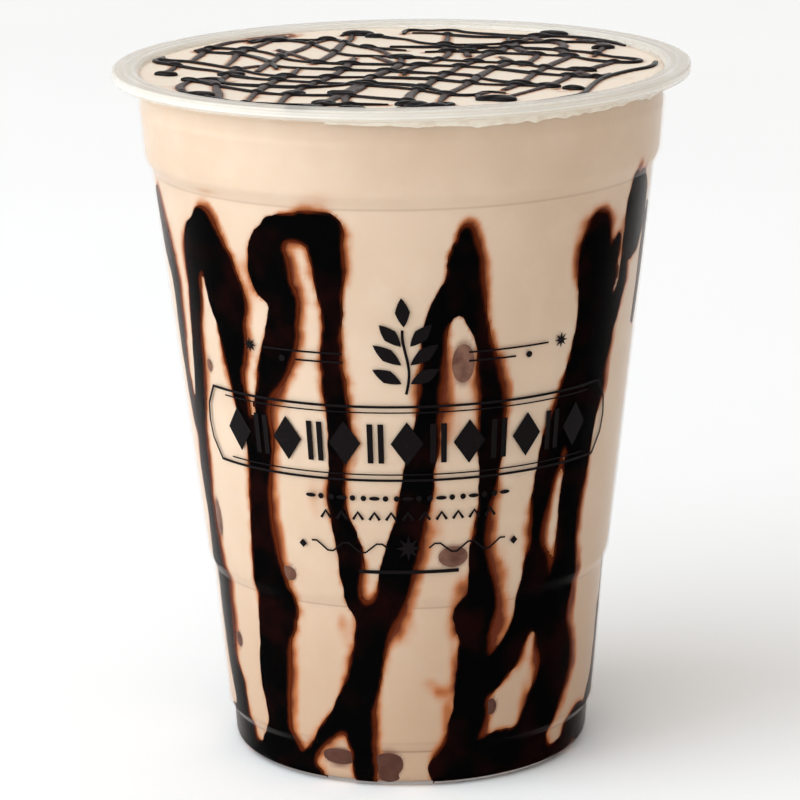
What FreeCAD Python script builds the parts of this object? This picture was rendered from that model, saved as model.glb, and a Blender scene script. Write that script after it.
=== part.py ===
"""A chocolate milkshake in a clear plastic takeaway cup, as a parametric FreeCAD document.

Two pieces are turned about +Z: the thermoformed cup, a thin wall with a curled lip, a stacking collar, two wall steps
and a pushed-up floor, and the milkshake that fills it almost to the lip. Lengths are in millimetres. The origin is
the centre of the ring that the cup stands on.
"""

import FreeCAD
import Part
import os

import Sketcher

SIZES = {
    # overall
    "cup_height": 119.0,
    "rim_radius": 49.0,
    "base_radius": 30.9,
    "wall_thickness": 0.5,
    "floor_thickness": 0.6,
    # floor: a standing ring round a pushed-up middle
    "base_round": 2.2,
    "ring_width": 2.0,
    "push_up_slope_width": 2.4,
    "push_up": 2.6,
    # foot: the lowest stretch of wall, and the step out above it
    "foot_flare": 0.25,
    "foot_height": 6.6,
    "foot_step_out": 0.8,
    "foot_step_rise": 1.3,
    # waist: the top of the lower wall, and the step out above it
    "lower_flare": 2.15,
    "waist_height": 32.7,
    "waist_step_out": 0.85,
    "waist_step_rise": 1.9,
    # shoulder: the step out from the upper wall to the stacking collar, placed down from the lip
    "shoulder_depth": 17.0,
    "shoulder_step_out": 1.15,
    "shoulder_step_rise": 2.2,
    # collar: it widens up to the lip, with a low bead round it, placed down from the lip
    "collar_flare": 0.95,
    "bead_flare": 0.6,
    "bead_depth": 6.4,
    "bead_half_width": 0.9,
    "bead_proud": 0.15,
    # lip: a flat flange whose outer edge curls down and back under
    "lip_width": 4.05,
    "lip_depth": 2.0,
    "lip_sheet": 0.45,
    "curl_radius": 0.95,
    "curl_gap": 1.2,
    "mouth_round": 1.0,
    "edge_round": 0.35,
    # milkshake
    "fill_depth": 0.9,
    "fill_clearance": 0.05,
    "fill_edge_round": 0.6,
}

TOLERANCE = 1e-4
OVERRUN = 2.0
"""How far a cutting tool runs past the face that it opens."""

doc = FreeCAD.newDocument("milkshake")
sheet = doc.addObject("Spreadsheet::Sheet", "Sizes")
for row, (name, value) in enumerate(SIZES.items(), start=1):
    sheet.set(f"A{row}", name)
    sheet.set(f"B{row}", str(value))
    sheet.setAlias(f"B{row}", name)
doc.recompute()


def words_of(text):
    """The words of a sum such as "rim_radius - edge_round", with its signs."""
    return text.replace("+", " + ").replace("-", " - ").split()


def formula(text):
    """The sum as an expression on the sheet's cells."""
    return " ".join(f"Sizes.{word}" if word in SIZES else word for word in words_of(text))


def number(text):
    """What the sum comes to, in millimetres."""
    total, sign = 0.0, 1.0
    for word in words_of(text):
        if word in "+-":
            sign = 1.0 if word == "+" else -1.0
        else:
            total += sign * (float(getattr(sheet, word)) if word in SIZES else float(word))
    return total


def new_body(label):
    """An empty body whose label names its file."""
    body = doc.addObject("PartDesign::Body", label)
    body.Label = label
    return body


def origin_plane(body, role):
    """One of the body's own three origin planes."""
    for feature in body.Origin.OriginFeatures:
        if feature.Role == role:
            return feature
    raise ValueError(f"{body.Label} has no {role}")


def arc_between(start, end, radius):
    """The short arc from start to end with its centre on the left of the way from start to end."""
    chord = end - start
    right = FreeCAD.Vector(chord.y, -chord.x, 0).normalize()
    drop = max(radius**2 - (chord.Length / 2) ** 2, 0.0) ** 0.5
    return Part.Arc(start, (start + end) * 0.5 + right * (radius - drop), end)


def half_section(body, name, corners):
    """A closed sketch in the XZ plane of a shape that is turned about +Z.

    The corners run anticlockwise as (radius, height) or (radius, height, rounding), each a sum of sizes. A corner
    with a rounding is reached by an arc of that radius, and the others by a straight side.
    """
    sketch = body.newObject("Sketcher::SketchObject", name)
    sketch.AttachmentSupport = (origin_plane(body, "XZ_Plane"), [""])
    sketch.MapMode = "FlatFace"
    places = [FreeCAD.Vector(number(corner[0]), number(corner[1]), 0) for corner in corners]
    for k, corner in enumerate(corners):
        start, end = places[k - 1], places[k]
        if len(corner) == 3:
            sketch.addGeometry(arc_between(start, end, number(corner[2])), False)
        else:
            sketch.addGeometry(Part.LineSegment(start, end), False)
    for k, corner in enumerate(corners):
        sketch.addConstraint(Sketcher.Constraint("Coincident", k, 2, (k + 1) % len(corners), 1))
    for k, corner in enumerate(corners):
        radius, height = corner[:2]
        if number(radius) == 0:
            sketch.addConstraint(Sketcher.Constraint("PointOnObject", k, 2, -2))
        else:
            row = sketch.addConstraint(Sketcher.Constraint("DistanceX", -1, 1, k, 2, number(radius)))
            sketch.setExpression(f"Constraints[{row}]", formula(radius))
        if number(height) == 0:
            sketch.addConstraint(Sketcher.Constraint("PointOnObject", k, 2, -1))
        else:
            row = sketch.addConstraint(Sketcher.Constraint("DistanceY", -1, 1, k, 2, number(height)))
            sketch.setExpression(f"Constraints[{row}]", formula(height))
        if len(corner) == 3:
            row = sketch.addConstraint(Sketcher.Constraint("Radius", k, number(corner[2])))
            sketch.setExpression(f"Constraints[{row}]", formula(corner[2]))
    doc.recompute()
    return sketch


def turn(body, kind, name, corners):
    """A full turn of a half section about +Z: a Revolution adds it, and a Groove cuts it away."""
    before = body.Shape.Volume if body.Tip else 0.0
    sketch = half_section(body, f"{name}Section", corners)
    feature = body.newObject(f"PartDesign::{kind}", name)
    feature.Profile = sketch
    feature.ReferenceAxis = (sketch, ["V_Axis"])
    feature.Angle = 360.0
    body.Tip = feature
    doc.recompute()
    grown = body.Shape.Volume - before
    if (kind == "Revolution") != (grown > TOLERANCE):
        raise ValueError(f"{name} changed the volume by {grown}")
    return feature


def round_rings(body, name, rings, radius):
    """Fillets the circular edges at the given (radius, height) places, each a sum of sizes."""
    base = body.Tip
    edges = []
    for ring_radius, ring_height in rings:
        for index, edge in enumerate(base.Shape.Edges, start=1):
            if not isinstance(edge.Curve, Part.Circle):
                continue
            off_radius = abs(edge.Curve.Radius - number(ring_radius))
            off_height = abs(edge.Curve.Center.z - number(ring_height))
            if off_radius < TOLERANCE and off_height < TOLERANCE:
                edges.append(f"Edge{index}")
    if len(edges) != len(rings):
        raise ValueError(f"{name} found {len(edges)} edges for {len(rings)} rings")
    fillet = body.newObject("PartDesign::Fillet", name)
    fillet.Base = (base, edges)
    fillet.setExpression("Radius", formula(radius))
    body.Tip = fillet
    doc.recompute()
    return fillet


RING = "base_radius - base_round - ring_width"
FOOT = "base_radius + foot_flare"
WAIST = f"{FOOT} + foot_step_out + lower_flare"
COLLAR_TOP = "rim_radius - lip_width"
COLLAR_FOOT = f"{COLLAR_TOP} - collar_flare"
"""The cup's outer radii: inside the standing ring, at the foot and the waist, and at the collar's top and foot."""


def wall_line(inset):
    """The wall from the foot to under the lip, moved towards the axis by the inset, a sum of sizes."""
    return [
        (f"{FOOT} {inset}", "foot_height"),
        (f"{FOOT} + foot_step_out {inset}", "foot_height + foot_step_rise"),
        (f"{WAIST} {inset}", "waist_height"),
        (f"{WAIST} + waist_step_out {inset}", "waist_height + waist_step_rise"),
        (f"{COLLAR_FOOT} - shoulder_step_out {inset}", "cup_height - shoulder_depth"),
        (f"{COLLAR_FOOT} {inset}", "cup_height - shoulder_depth + shoulder_step_rise"),
        (f"{COLLAR_FOOT} + bead_flare {inset}", "cup_height - bead_depth - bead_half_width"),
        (f"{COLLAR_FOOT} + bead_flare + bead_proud {inset}", "cup_height - bead_depth"),
        (f"{COLLAR_FOOT} + bead_flare {inset}", "cup_height - bead_depth + bead_half_width"),
        (f"{COLLAR_TOP} {inset}", "cup_height - lip_depth"),
    ]


def cavity_line(inset, lift):
    """The cup's inside from the middle of the floor up to the lip's underside.

    The inset moves the wall towards the axis and the lift moves the floor up, both sums of sizes. The slope of the
    pushed-up floor leans away from the axis, so the lift alone gives it its thickness.
    """
    return [
        ("0", f"push_up {lift}"),
        (f"{RING} - push_up_slope_width", f"push_up {lift}"),
        (RING, f"0 {lift}"),
        (f"base_radius - base_round {inset}", f"0 {lift}"),
        (f"base_radius {inset}", f"base_round {lift}", "base_round"),
        *wall_line(inset),
    ]


def build_cup():
    """The clear cup: turned solid, hollowed, with its lip opened underneath into a curl."""
    body = new_body("cup")
    turn(body, "Revolution", "Outside", [
        ("0", "push_up"),
        (f"{RING} - push_up_slope_width", "push_up"),
        (RING, "0"),
        ("base_radius - base_round", "0"),
        ("base_radius", "base_round", "base_round"),
        *wall_line(""),
        ("rim_radius - curl_radius", "cup_height - lip_depth"),
        ("rim_radius", "cup_height - lip_depth + curl_radius", "curl_radius"),
        ("rim_radius", "cup_height - edge_round"),
        ("rim_radius - edge_round", "cup_height", "edge_round"),
        ("0", "cup_height"),
    ])
    turn(body, "Groove", "Inside", [
        *cavity_line("- wall_thickness", "+ floor_thickness"),
        (f"{COLLAR_TOP} - wall_thickness", f"cup_height + {OVERRUN}"),
        ("0", f"cup_height + {OVERRUN}"),
    ])
    turn(body, "Groove", "Curl", [
        (COLLAR_TOP, f"cup_height - lip_depth - {OVERRUN}"),
        (f"{COLLAR_TOP} + curl_gap", f"cup_height - lip_depth - {OVERRUN}"),
        (f"{COLLAR_TOP} + curl_gap", "cup_height - lip_depth + lip_sheet"),
        ("rim_radius - curl_radius", "cup_height - lip_depth + lip_sheet"),
        ("rim_radius - lip_sheet", "cup_height - lip_depth + curl_radius", "curl_radius - lip_sheet"),
        ("rim_radius - lip_sheet", "cup_height - lip_sheet"),
        (COLLAR_TOP, "cup_height - lip_sheet"),
    ])
    round_rings(body, "Mouth", [(f"{COLLAR_TOP} - wall_thickness", "cup_height")], "mouth_round")
    return body


def build_milkshake():
    """The drink: it fills the cup to just under the lip."""
    body = new_body("milkshake")
    wall = f"{COLLAR_TOP} - wall_thickness - fill_clearance"
    level = "cup_height - fill_depth"
    turn(body, "Revolution", "Fill", [
        *cavity_line("- wall_thickness - fill_clearance", "+ floor_thickness + fill_clearance"),
        (wall, level),
        ("0", level),
    ])
    round_rings(body, "Edge", [(wall, level)], "fill_edge_round")
    return body


def check(document):
    """Stops with a message if any object failed, or a body's shape isn't one valid solid."""
    document.recompute()
    for item in document.Objects:
        if "Invalid" in item.State or "Error" in item.State:
            raise ValueError(f"{item.Name} is {item.State}")
    for body in document.findObjects("PartDesign::Body"):
        shape = body.Shape
        if shape.isNull() or not shape.isValid() or len(shape.Solids) != 1:
            raise ValueError(f"{body.Label} isn't one valid solid")


PIECES = [build_cup(), build_milkshake()]
check(doc)
os.makedirs("parts", exist_ok=True)
for piece in PIECES:
    piece.Shape.exportStep(f"parts/{piece.Label}.step")
    print(f"{piece.Label}: {piece.Shape.Volume / 1000:.1f} ml, {len(piece.Shape.Faces)} faces")
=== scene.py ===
"""A chocolate milkshake in a clear plastic takeaway cup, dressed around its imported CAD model.

Lengths are in millimetres up to the point where a mesh is finished, and metres in Blender. Angles round the cup are
in degrees, from 0 at the front (-Y) and growing towards +X.
"""

import math
import random

import bmesh
import bpy
import numpy as np
from mathutils import Matrix, Vector, noise


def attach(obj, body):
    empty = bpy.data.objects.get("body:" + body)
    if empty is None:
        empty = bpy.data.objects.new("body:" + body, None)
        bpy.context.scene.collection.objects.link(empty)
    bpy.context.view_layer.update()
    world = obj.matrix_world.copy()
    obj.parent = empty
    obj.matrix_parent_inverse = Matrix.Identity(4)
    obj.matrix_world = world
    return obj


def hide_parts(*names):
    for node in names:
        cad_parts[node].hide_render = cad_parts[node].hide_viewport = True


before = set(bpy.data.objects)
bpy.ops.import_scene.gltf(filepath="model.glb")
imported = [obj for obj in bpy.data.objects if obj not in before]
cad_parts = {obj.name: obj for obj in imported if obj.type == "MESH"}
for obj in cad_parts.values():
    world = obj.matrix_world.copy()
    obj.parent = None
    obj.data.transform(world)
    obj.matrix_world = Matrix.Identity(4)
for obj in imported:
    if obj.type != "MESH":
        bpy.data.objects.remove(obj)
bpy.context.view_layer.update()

MM = 0.001


# ------------------------------------------------------------------------------
# The cup is thermoformed from one sheet of clear PET: a stepped, tapering wall half a millimetre thick, and a flat
# lip with a curled edge. Its mesh is the CAD node, which gets the plastic: see-through where the drink backs it, with
# a soft gloss that grows towards grazing angles.

LIP_TOP = 119.0
BASE_RADIUS, BASE_ROUND = 30.9, 2.2
WALL_SHEET, FLOOR_SHEET = 0.5, 0.6
# The bends of the wall's outside from the foot up: (radius, height).
CUP_WALL = (
    (31.15, 6.6), (31.95, 7.9), (34.1, 32.7), (34.95, 34.6), (42.85, 102.0), (44.0, 104.2), (44.6, 111.7),
    (44.75, 112.6), (44.6, 113.5), (44.95, 117.0), (44.95, LIP_TOP),
)
# The lip is milkier than the wall, from the first height up to the second.
LIP_FROST = (116.8, 117.3)
LIP_FROST_SHARE = 0.46


class Shade:
    """A value inside a material. Sums on it become Math nodes."""

    def __init__(self, finish, socket):
        self.finish = finish
        self.socket = socket

    def math(self, operation, other):
        return self.finish.node("Math", {"operation": operation}, {0: self, 1: other})

    def __add__(self, other):
        return self.math("ADD", other)

    def __mul__(self, other):
        return self.math("MULTIPLY", other)

    __radd__ = __add__
    __rmul__ = __mul__

    def __rsub__(self, other):
        return self.finish.node("Math", {"operation": "SUBTRACT"}, {0: other, 1: self})

    def ramp(self, low, high):
        """0 below low and 1 above high, with a smooth rise between."""
        values = {"Value": self, "From Min": low, "From Max": high}
        return self.finish.node("MapRange", {"interpolation_type": "SMOOTHSTEP", "clamp": True}, values)


class Finish:
    """The nodes of one material, or of the room, and the one way in which they are made."""

    def __init__(self, name, kind="materials"):
        self.owner = getattr(bpy.data, kind).new(name)
        self.owner.use_nodes = True
        self.tree = self.owner.node_tree
        self.tree.nodes.clear()

    def node(self, kind, settings=None, values=None, out=0):
        """Adds a shader node: its settings first, then the values or links of its inputs."""
        added = self.tree.nodes.new("ShaderNode" + kind)
        for key, value in (settings or {}).items():
            setattr(added, key, value)
        for key, value in (values or {}).items():
            if isinstance(value, Shade):
                self.tree.links.new(value.socket, added.inputs[key])
            else:
                added.inputs[key].default_value = value
        return Shade(self, added.outputs[out]) if added.outputs else None

    def blend(self, factor, first, second):
        """Two colours mixed."""
        return self.node("Mix", {"data_type": "RGBA"}, {0: factor, 6: first, 7: second}, out=2)

    def place(self):
        """The surface point in the object's own coordinates, in millimetres."""
        point = self.node("TexCoord", out=3)
        return self.node("VectorMath", {"operation": "SCALE"}, {0: point, "Scale": 1 / MM})

    def height(self):
        """How high the surface point is over the floor, in millimetres."""
        return self.node("SeparateXYZ", None, {0: self.place()}, out=2)

    def grain(self, size, detail=2.0, point=None):
        """Noise with features of a size in millimetres."""
        values = {"Vector": point or self.place(), "Scale": 1 / size, "Detail": detail}
        return self.node("TexNoise", None, values)

    def mark(self, name):
        """A value that the mesh carries at each vertex."""
        return self.node("Attribute", {"attribute_name": name}, out=2)

    def bump(self, height, depth, strength):
        """A relief whose full height is a depth in millimetres."""
        return self.node("Bump", None, {"Height": height, "Distance": depth * MM, "Strength": strength})

    def output(self, shader, end="OutputMaterial"):
        self.node(end, None, {"Surface": shader})
        return self.owner

    def surface(self, values):
        """Ends the finish as one solid surface, with the values or links of its inputs."""
        return self.output(self.node("BsdfPrincipled", None, values))


def colour(red, green, blue):
    """A shader colour from the 0 to 255 values of a swatch."""
    def linear(value):
        value /= 255
        return value / 12.92 if value <= 0.04045 else ((value + 0.055) / 1.055) ** 2.4
    return (linear(red), linear(green), linear(blue), 1.0)


def clear_plastic():
    finish = Finish("clear_pet")
    height = finish.height()
    flat = finish.node("VectorMath", {"operation": "MULTIPLY"}, {0: finish.place(), 1: (1, 1, 0)})
    radius = finish.node("VectorMath", {"operation": "LENGTH"}, {0: flat}, out=1)
    section = finish.node("CombineXYZ", None, {0: radius, 2: height})
    relief = finish.bump(finish.grain(1.4, point=section), 0.05, 0.35)
    grazing = finish.node("Fresnel", None, {"IOR": 1.46, "Normal": relief})
    clear = finish.node("BsdfTransparent", None, {"Color": (1, 1, 1, 1)})
    gloss = finish.node("BsdfGlossy", None, {
        "Color": (1.0, 0.95, 0.93, 1), "Roughness": 0.12, "Normal": relief,
    })
    wall = finish.node("MixShader", None, {0: grazing.ramp(0.05, 0.6) * 0.32, 1: clear, 2: gloss})
    # Painted highlight: the lip's lighter rings stand in for highlights along its curl.
    ring_highlights = finish.grain(0.55, point=section)
    milky_with_ring_highlights = finish.blend(ring_highlights.ramp(0.38, 0.66), colour(222, 212, 197), colour(253, 247, 236))
    frost = finish.node("BsdfPrincipled", None, {
        "Base Color": milky_with_ring_highlights, "Roughness": 0.2, "Normal": relief, "IOR": 1.5, "Subsurface Weight": 0.7,
        "Subsurface Radius": (1.0, 0.97, 0.9), "Subsurface Scale": 0.002,
    })
    lip = height.ramp(*LIP_FROST) * LIP_FROST_SHARE
    return finish.output(finish.node("MixShader", None, {0: lip, 1: wall, 2: frost}))


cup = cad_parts["cup"]
cup.data.materials.clear()
cup.data.materials.append(clear_plastic())


# ------------------------------------------------------------------------------
# The syrup on the wall is a skin of dark chocolate sauce, run down inside the plastic before the cup was filled. It
# is thin and brown where it feathers out, and nearly black where it is deep. It is a sheet turned along the wall, cut
# to the outline of the runs and then given its depth.

SYRUP_TOP = 106.0
SYRUP_INTO_WALL = 0.26
SYRUP_DEPTH = 0.55
SYRUP_ROWS, SYRUP_COLUMNS = 214, 520

# Each run is read downwards, as rows of its height and the angles of its left and right edges.
SYRUP_RUNS = {
    "far left strand": [
        (98, -82, -76), (94, -81, -73), (90, -80, -70), (84.7, -75, -69), (76, -75.7, -70), (68, -76, -71.8),
        (60, -74, -69),
    ],
    "first loop, left": [
        (97.5, -54.5, -48), (94, -61.5, -50), (91.4, -62.6, -52.5), (88, -62.9, -55.4), (84.7, -62.9, -56.2),
        (80.5, -64, -57.6), (76, -65, -59), (68, -67.3, -60.7), (60, -71, -64), (51, -74, -65.7), (43, -73.4, -66.8),
        (34.7, -75.7, -65), (26, -77, -65), (18, -75.7, -66.2), (13.8, -74, -62.3), (10.5, -71.8, -61.8),
        (4, -72, -60),
    ],
    "first loop, right": [
        (97.5, -55.5, -48.5), (93, -55, -44.5), (91, -54.2, -43), (88.8, -54.2, -41.8), (84.7, -53.8, -40),
        (80.5, -51.8, -40.7), (76, -50.7, -41.8), (72, -49.6, -43.4), (64, -46.8, -42.3), (60, -45, -38),
    ],
    "second loop, left": [
        (100.3, -25.5, -20.5), (98.6, -31.5, -26), (95.5, -36, -27.5), (93, -37.9, -26.8), (88.8, -37.9, -26.2),
        (86, -33.4, -25), (80.5, -35, -25.7), (76, -36.8, -27.3), (72, -39, -30.7), (68, -40.7, -35),
        (64, -41.4, -35.7), (60, -45, -35.7), (51, -46.2, -38.2), (43, -47.9, -37.9), (34.7, -49, -35.7),
        (31, -49.6, -33.4), (26, -50, -36.8), (18, -51.8, -38.4), (10, -50, -40), (3.5, -52, -38),
    ],
    "second loop, right": [
        (100.3, -25, -20), (99.6, -21.5, -15), (97, -22.9, -13.4), (88.8, -20.4, -13.8), (80.5, -20, -15.3),
        (72, -20.7, -14.6), (64, -19.6, -13.4), (60, -20, -15), (51, -21.2, -16.2), (43, -19.6, -12.3),
        (34.7, -18.4, -12.9), (31, -16, -10),
    ],
    "spike, left": [
        (98, 12.6, 15.6), (93, 9.9, 17), (88.8, 8.2, 18.2), (84.7, 5, 12.5), (80.5, 3.8, 9.9), (68, 2.7, 8.8),
        (60, -0.1, 7.7), (51, -2.9, 6), (43, -6.2, 3.2), (34.7, -9.6, -0.1), (30.5, -14.5, -2.9), (26, -16.8, -6.2),
        (18, -20, -9), (13.8, -22, -10.5), (9.7, -20, -10.7), (0.6, -18.4, -11.2),
    ],
    "spike, right": [
        (97, 12.8, 15.8), (90, 12, 18.2), (84.7, 13.2, 19.3), (80.5, 16.2, 20.4), (76, 17, 22.7), (68, 17.7, 24.9),
        (60, 18.2, 24.9), (51, 18.2, 22.7), (43, 16.6, 22), (34.7, 16, 24.9), (30.5, 12.7, 25.4), (26, 14.3, 24.3),
        (18, 13, 23.5), (13.8, 12.7, 24), (9.7, 10.4, 22.4), (4, 8, 20),
    ],
    "trunk's left foot": [
        (18, -19.5, -13), (13, -25, -17), (9.7, -29.6, -22), (7, -33, -27.5), (4.5, -37, -30.5), (2, -41, -32),
    ],
    "fifth, top": [
        (94.6, 46, 55.6), (91.6, 44.2, 56.4), (88, 44.2, 57), (84.7, 45, 57.8), (80.5, 45.4, 60.4), (76, 44.3, 61.5),
        (72, 42.9, 60.4), (68, 40.8, 59.3), (64, 38.9, 57.5),
    ],
    "fifth, tooth": [(92.6, 58.2, 60.6), (90, 55, 60.6), (86, 53, 60)],
    "fifth, left": [
        (68, 42, 49), (64, 38.8, 46.5), (60, 36.6, 45.4), (51, 34.3, 41.6), (43, 34.3, 39.3), (38.8, 33.2, 41.6),
        (34.7, 32, 43.2), (30.5, 31.6, 41.6), (26, 28.2, 37.7), (22, 22.7, 34.9), (18, 18, 28),
    ],
    "fifth, right": [
        (68, 49, 59.3), (64, 48, 57.7), (60, 47.1, 56.6), (51, 44.3, 54.9), (43, 44.3, 53.2), (34.7, 43.2, 54.9),
        (26, 39.3, 53.8), (22, 41, 57), (18, 40.4, 57.7), (13.8, 38, 55.4), (9.7, 34, 51.5), (6.5, 33, 48.5),
        (3.6, 34, 47),
    ],
    "sixth": [
        (102.5, 63.8, 66), (100, 63, 71), (97, 61.8, 77), (93, 61.4, 76), (88.8, 61.6, 67), (84.7, 61.4, 66.6),
        (79, 58.4, 63.6),
    ],
    "thin strand": [(95, 79.5, 82), (91, 77.5, 83.5), (84.7, 77, 83), (79, 76.5, 81), (76, 76, 79)],
    "low right strand": [(24, 80, 85), (14, 78, 84), (8, 71, 82), (3, 67, 80)],
}
# The side that faces away has runs like those in front, turned round the cup and stretched.
BEHIND = (
    ("first loop, left", 165, 0.97), ("first loop, right", 165, 0.97), ("second loop, left", 176, 0.93),
    ("second loop, right", 176, 0.93), ("spike, left", 208, 1.0), ("spike, right", 208, 1.0),
    ("far left strand", 172, 1.0), ("fifth, top", 192, 0.96), ("fifth, left", 192, 0.96), ("fifth, right", 192, 0.96),
)
# What joins the runs, at the foot and over the second loop, as knots of (angle, height, half the width).
PUDDLE = (
    (-79, 4, 3.4), (-73, 4.6, 3.8), (-68, 3.2, 2.9), (-62, 1.6, 1.9), (-57, 2, 2.2), (-53, 2.6, 2.6),
    (-49, 4.2, 3.4), (-45, 4.4, 3.4), (-40, 2.6, 2.2), (-36, 1.6, 1.8), (-32, 1.4, 1.4),
)
LOOP_TOP = ((-32.5, 96, 2), (-29.5, 97.4, 2.3), (-25, 98, 2.4), (-21, 98, 2.4), (-17.8, 97.6, 2.4))
PUDDLE_RIGHT = (
    (8.5, 2, 1.5), (11, 3.4, 3.1), (16, 4, 3.6), (22, 3.2, 3.4), (26, 4.6, 4.2), (33, 4.8, 4.2), (41, 4, 3.6),
    (48, 2, 2.2), (54, 1.6, 2), (60, 2.6, 2.4), (65, 5.6, 3.4), (70, 5, 2.6), (75, 2.2, 2.2), (81, 2.8, 2.6),
)
PUDDLE_BEHIND = tuple(
    (angle, 3.4 + 1.6 * math.sin(angle / 9.0) + 0.8 * math.sin(angle / 3.7), 2.8 + 0.8 * math.sin(angle / 5.0))
    for angle in range(84, 281, 6)
)
# How far from a run its stain can show, and how wide a fillet fills the fork where two runs meet.
REACH, FORK_FILLET = 3.0, 1.6

# The wall's outside at levels a tenth of a millimetre apart, averaged over the corners as the forming leaves them.
CORNER_EASE = 17
levels = np.arange(0, LIP_TOP + 0.1, 0.1)
bend_radii, bend_heights = zip((BASE_RADIUS, BASE_ROUND), *CUP_WALL)
sharp = np.interp(levels, bend_heights, bend_radii)
eased_wall = np.convolve(
    np.pad(sharp, CORNER_EASE // 2, mode="edge"), np.ones(CORNER_EASE) / CORNER_EASE, mode="valid")
foot = BASE_RADIUS - BASE_ROUND + np.sqrt(np.clip(BASE_ROUND**2 - (BASE_ROUND - levels)**2, 0, None))
wall_radii = np.where(levels < BASE_ROUND, foot, eased_wall)


def wall_outside(height):
    """The radius of the cup's outside at a height."""
    return np.interp(height, levels, wall_radii)


def per_degree_at(height):
    """How many millimetres of the cup's outside one degree takes up at a height."""
    return np.radians(1) * wall_outside(height)


def turn_from(middle, angle):
    """The turn from one angle to others, between -180 and 180 degrees."""
    return (angle - middle + 180) % 360 - 180


def on_cup(angle, height, radius):
    """The (x, y, z) places that stand at angles and heights, one row each."""
    turn = np.radians(angle)
    return np.stack([radius * np.sin(turn), -radius * np.cos(turn), height + 0 * turn], axis=-1)


def eased(knots, steps=3):
    """A chain of knots with points added between them, on a smooth line through all of them."""
    chain = []
    for k in range(len(knots) - 1):
        before, start, end = knots[max(k - 1, 0)], knots[k], knots[k + 1]
        after = knots[min(k + 2, len(knots) - 1)]
        for step in range(steps):
            t = step / steps
            chain.append(tuple(
                0.5 * (2 * b + (c - a) * t + (2 * a - 5 * b + 4 * c - d) * t**2 + (3 * b - a - 3 * c + d) * t**3)
                for a, b, c, d in zip(before, start, end, after)
            ))
    chain.append(tuple(knots[-1]))
    return chain


def knots_of(rows):
    """A run's rows as knots of (angle, height, half its width across), with the width taken square to the run."""
    middles = [((left + right) / 2, height) for height, left, right in rows]
    knots = []
    for k, (height, left, right) in enumerate(rows):
        per_degree = per_degree_at(height)
        (first, high), (last, low) = middles[max(k - 1, 0)], middles[min(k + 1, len(rows) - 1)]
        lean = math.atan2((last - first) * per_degree, high - low)
        knots.append((middles[k][0], height, (right - left) / 2 * per_degree * max(math.cos(lean), 0.5)))
    return knots


def bar_gap(x, y, start, end):
    """The distance from points to a round-ended bar between two (x, y, half width) ends, negative inside it."""
    (x0, y0, half0), (x1, y1, half1) = start, end
    dx, dy = x1 - x0, y1 - y0
    share = np.clip(((x - x0) * dx + (y - y0) * dy) / np.maximum(dx * dx + dy * dy, 1e-9), 0, 1)
    return np.hypot(x - x0 - dx * share, y - y0 - dy * share) - half0 - (half1 - half0) * share


def joined(first, second, width):
    """The smaller of two distances, with a fillet where the two shapes meet and none out at REACH."""
    width = np.maximum(width * np.clip(REACH - np.maximum(first, second), 0, 1), 1e-6)
    overlap = np.clip(width - np.abs(first - second), 0, None) / width
    return np.minimum(first, second) - overlap * overlap * width / 4


chains = [eased(knots_of(rows)) for rows in SYRUP_RUNS.values()]
for name, turn, stretch in BEHIND:
    rows = [(height * stretch, left + turn, right + turn) for height, left, right in SYRUP_RUNS[name]]
    chains.append(eased(knots_of(rows)))
chains.extend(eased(puddle) for puddle in (LOOP_TOP, PUDDLE, PUDDLE_RIGHT, PUDDLE_BEHIND))


def ripple(places, size, seed=0):
    """Noise of about -1 to 1 with features of a size in millimetres, at (x, y, z) places."""
    return np.array([noise.noise(Vector(place) / size + Vector((0, 0, seed))) for place in places])


def syrup_gap(angle, height):
    """How far points of the wall lie outside the syrup, in millimetres: negative within it, and at most REACH."""
    per_degree = per_degree_at(height)
    total = np.full(len(angle), REACH)
    for chain in chains:
        gap = np.full(len(angle), REACH)
        for (a0, h0, w0), (a1, h1, w1) in zip(chain, chain[1:]):
            around = turn_from(a0, angle)
            spread = REACH + max(w0, w1)
            near = np.abs(around - (a1 - a0) / 2) * per_degree < abs(a1 - a0) / 2 * per_degree + spread
            near &= np.abs(height - (h0 + h1) / 2) < abs(h0 - h1) / 2 + spread
            if near.any():
                scale = per_degree[near]
                found = bar_gap(around[near] * scale, height[near], (0, h0, w0), ((a1 - a0) * scale, h1, w1))
                gap[near] = np.minimum(gap[near], found)
        total = joined(total, gap, FORK_FILLET)
    places = on_cup(angle, height, wall_outside(height))
    return total + 0.42 * ripple(places, 4.2) + 0.16 * ripple(places, 1.5)


# Where patterns on the wall are read, so that they don't stretch with its taper.
PATTERN_RADIUS = 40.0
FEATHER_PROBE = 0.6


def feather_at(angle, height):
    """How far the syrup has feathered out into the drink near points of the wall, from 0 to 1.

    It runs cleaner along its left edges than along its right ones, which the pour dragged over.
    """
    aside = FEATHER_PROBE / per_degree_at(height)
    rising = syrup_gap(angle + aside, height) - syrup_gap(angle - aside, height)
    right_edge = np.clip(rising / (2 * FEATHER_PROBE), -0.3, 1)
    places = on_cup(angle, height, np.full(len(angle), PATTERN_RADIUS))
    patches = ripple(places * (1, 1, 0.5), 6.5, 5)
    return np.clip(0.24 + 0.4 * right_edge + 0.8 * patches + 0.25 * ripple(places, 1.7, 2), 0, 1)


def syrup_on_wall():
    finish = Finish("syrup_on_wall")
    tone = finish.grain(9.0, 3.0)
    deep = finish.blend(tone.ramp(0.45, 0.7), colour(5, 5, 5), colour(24, 8, 7))
    rim = finish.blend(finish.mark("feather").ramp(0.0, 0.5), colour(28, 13, 10), colour(92, 37, 16))
    sauce = finish.blend(finish.mark("depth").ramp(0.0, 1.0), rim, deep)
    return finish.surface({"Base Color": sauce, "Roughness": 0.6, "Specular IOR Level": 0.0})


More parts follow.
